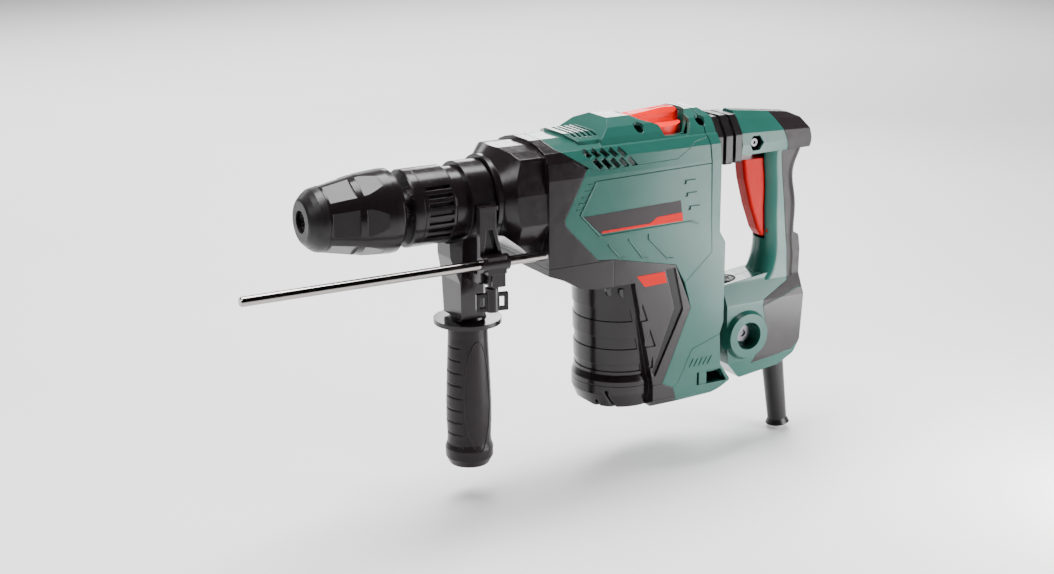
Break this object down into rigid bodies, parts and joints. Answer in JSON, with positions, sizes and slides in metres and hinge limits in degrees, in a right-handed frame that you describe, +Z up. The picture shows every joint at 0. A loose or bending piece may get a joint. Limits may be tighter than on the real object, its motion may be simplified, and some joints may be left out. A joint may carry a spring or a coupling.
{
  "type": "rotary hammer",
  "caption": "Corded rotary hammer with keyless round-shank socket, D handle with damper pivot, swinging side handle and depth rod.",
  "frame": {"origin": "centre of the tool socket's mouth, on the spindle axis", "axes": "-X out of the socket along the tool bit, +X towards the D handle, +Z up, -Y the tool's left side"},
  "size_m": [0.5565, 0.0988, 0.3179],
  "materials": {
    "green_shell": "satin moulded",
    "charcoal_shell": "satin moulded",
    "chuck_plastic": "satin",
    "black_rubber": "matt",
    "soft_grip": "soft touch",
    "red_plastic": "semi gloss",
    "dark_plastic": "matt",
    "bright_steel": "plated",
    "gear_steel": "ground",
    "core_steel": "laminated",
    "cast_alloy": "die cast",
    "copper_wire": "enamelled",
    "circuit_board": "lacquered"
  },
  "bodies": {
    "housing": {"gearbox_housing": "charcoal_shell", "gearbox_skirt": "charcoal_shell", "top_cover": "green_shell", "side_shell_left": "green_shell", "side_shell_right": "green_shell", "rear_shell": "green_shell", "foot_shell": "green_shell", "motor_cover_left": "charcoal_shell", "motor_cover_right": "charcoal_shell", "motor_base_cap": "charcoal_shell", "cover_screws": "bright_steel", "bearings": "bright_steel", "gear_frame": "cast_alloy", "motor_bearing_seat": "dark_plastic", "tube_seal": "black_rubber", "control_board": "circuit_board", "stator_core": "core_steel", "stator_coils": "copper_wire", "pivot_bracket": "cast_alloy", "pivot_bolt": "bright_steel", "damper_spring": "bright_steel", "bellows": "black_rubber"},
    "spindle": {"hammer_tube": "gear_steel", "dust_cap": "black_rubber", "stop_ring": "chuck_plastic", "position_sleeve": "chuck_plastic", "locking_jaws": "gear_steel", "crown_gear": "gear_steel", "sleeve_spring": "bright_steel"},
    "locking_sleeve": {"locking_sleeve": "chuck_plastic"},
    "impact_bolt": {"impact_bolt": "gear_steel"},
    "striker": {"striker": "gear_steel"},
    "piston": {"piston": "cast_alloy", "wrist_pin": "bright_steel"},
    "connecting_rod": {"connecting_rod": "gear_steel", "crank_pin": "gear_steel"},
    "crank": {"crank_shaft": "gear_steel"},
    "idler": {"idler_gear": "gear_steel", "bevel_pinion_shaft": "gear_steel"},
    "motor": {"motor_shaft": "gear_steel", "motor_rotor": "core_steel", "cooling_fan": "dark_plastic"},
    "selector": {"selector_knob": "red_plastic"},
    "rear_handle": {"handle_shell_left": "green_shell", "handle_shell_right": "green_shell", "handle_soft_grip": "soft_grip", "handle_lower_panel": "charcoal_shell", "handle_bolts": "bright_steel", "switch_block": "dark_plastic", "trigger_spring": "bright_steel", "cable_boot": "black_rubber"},
    "trigger": {"trigger": "red_plastic"},
    "speed_wheel": {"speed_wheel": "dark_plastic"},
    "side_handle": {"clamp_band": "charcoal_shell", "handle_stem": "charcoal_shell", "clamp_bolt": "bright_steel", "rod_bracket": "charcoal_shell"},
    "side_grip": {"side_grip": "soft_grip"},
    "depth_rod": {"depth_rod": "bright_steel"},
    "wing_screw": {"wing_screw": "chuck_plastic"}
  },
  "joints": [
    {"name": "spindle_spin", "type": "hinge", "parent": "housing", "child": "spindle", "pos_m": [0, 0, 0], "axis": [1, 0, 0], "continuous": true},
    {"name": "locking_sleeve_slide", "type": "slide", "parent": "spindle", "child": "locking_sleeve", "axis": [1, 0, 0], "range_m": [0, 0.007], "stiffness_N_per_m": 900, "springref_m": -0.006, "deforming": ["sleeve_spring"]},
    {"name": "impact_bolt_slide", "type": "slide", "parent": "spindle", "child": "impact_bolt", "axis": [1, 0, 0], "range_m": [-0.004, 0.004]},
    {"name": "striker_slide", "type": "slide", "parent": "spindle", "child": "striker", "axis": [1, 0, 0], "range_m": [-0.004, 0.014]},
    {"name": "piston_slide", "type": "slide", "parent": "housing", "child": "piston", "axis": [1, 0, 0], "range_m": [0, 0.024]},
    {"name": "connecting_rod_swing", "type": "hinge", "parent": "piston", "child": "connecting_rod", "pos_m": [0.256, 0, 0], "axis": [0, 0, 1], "range_deg": [-10.5, 10.5]},
    {"name": "crank_spin", "type": "hinge", "parent": "housing", "child": "crank", "pos_m": [0.331, 0, 0], "axis": [0, 0, 1], "continuous": true},
    {"name": "idler_spin", "type": "hinge", "parent": "housing", "child": "idler", "pos_m": [0.262, 0, 0], "axis": [0, 0, 1], "continuous": true},
    {"name": "motor_spin", "type": "hinge", "parent": "housing", "child": "motor", "pos_m": [0.295, 0, 0], "axis": [0, 0, 1], "continuous": true},
    {"name": "selector_turn", "type": "hinge", "parent": "housing", "child": "selector", "pos_m": [0.324, 0, 0.04], "axis": [0, 0, 1], "range_deg": [-90, 0]},
    {"name": "rear_handle_damper", "type": "hinge", "parent": "housing", "child": "rear_handle", "pos_m": [0.4165, 0, -0.1535], "axis": [0, 1, 0], "range_deg": [-1.2, 1.2], "stiffness_Nm_per_rad": 150, "deforming": ["bellows", "damper_spring"]},
    {"name": "trigger_pull", "type": "hinge", "parent": "rear_handle", "child": "trigger", "pos_m": [0.449, 0, -0.0635], "axis": [0, 1, 0], "range_deg": [0, 6.5], "stiffness_Nm_per_rad": 0.8, "springref_deg": -17.19, "deforming": ["trigger_spring"]},
    {"name": "speed_wheel_turn", "type": "hinge", "parent": "rear_handle", "child": "speed_wheel", "pos_m": [0.408, 0, -0.11], "axis": [0, 0, 1], "range_deg": [-150, 150]},
    {"name": "side_handle_swing", "type": "hinge", "parent": "housing", "child": "side_handle", "pos_m": [0.1466, 0, 0], "axis": [1, 0, 0], "range_deg": [-60, 10]},
    {"name": "side_grip_twist", "type": "hinge", "parent": "side_handle", "child": "side_grip", "pos_m": [0.1466, 0, -0.17], "axis": [0, 0, 1], "range_deg": [0, 270]},
    {"name": "depth_rod_slide", "type": "slide", "parent": "side_handle", "child": "depth_rod", "axis": [1, 0, 0], "range_m": [-0.05, 0]},
    {"name": "wing_screw_turn", "type": "hinge", "parent": "side_handle", "child": "wing_screw", "pos_m": [0.146, -0.045, -0.07], "axis": [0, 0, 1], "range_deg": [-90, 90]}
  ],
  "couplings": [
    {"joint": "idler_spin", "follows": "spindle_spin", "ratio": -3.3333},
    {"joint": "motor_spin", "follows": "spindle_spin", "ratio": 15},
    {"joint": "crank_spin", "follows": "spindle_spin", "ratio": -3}
  ]
}
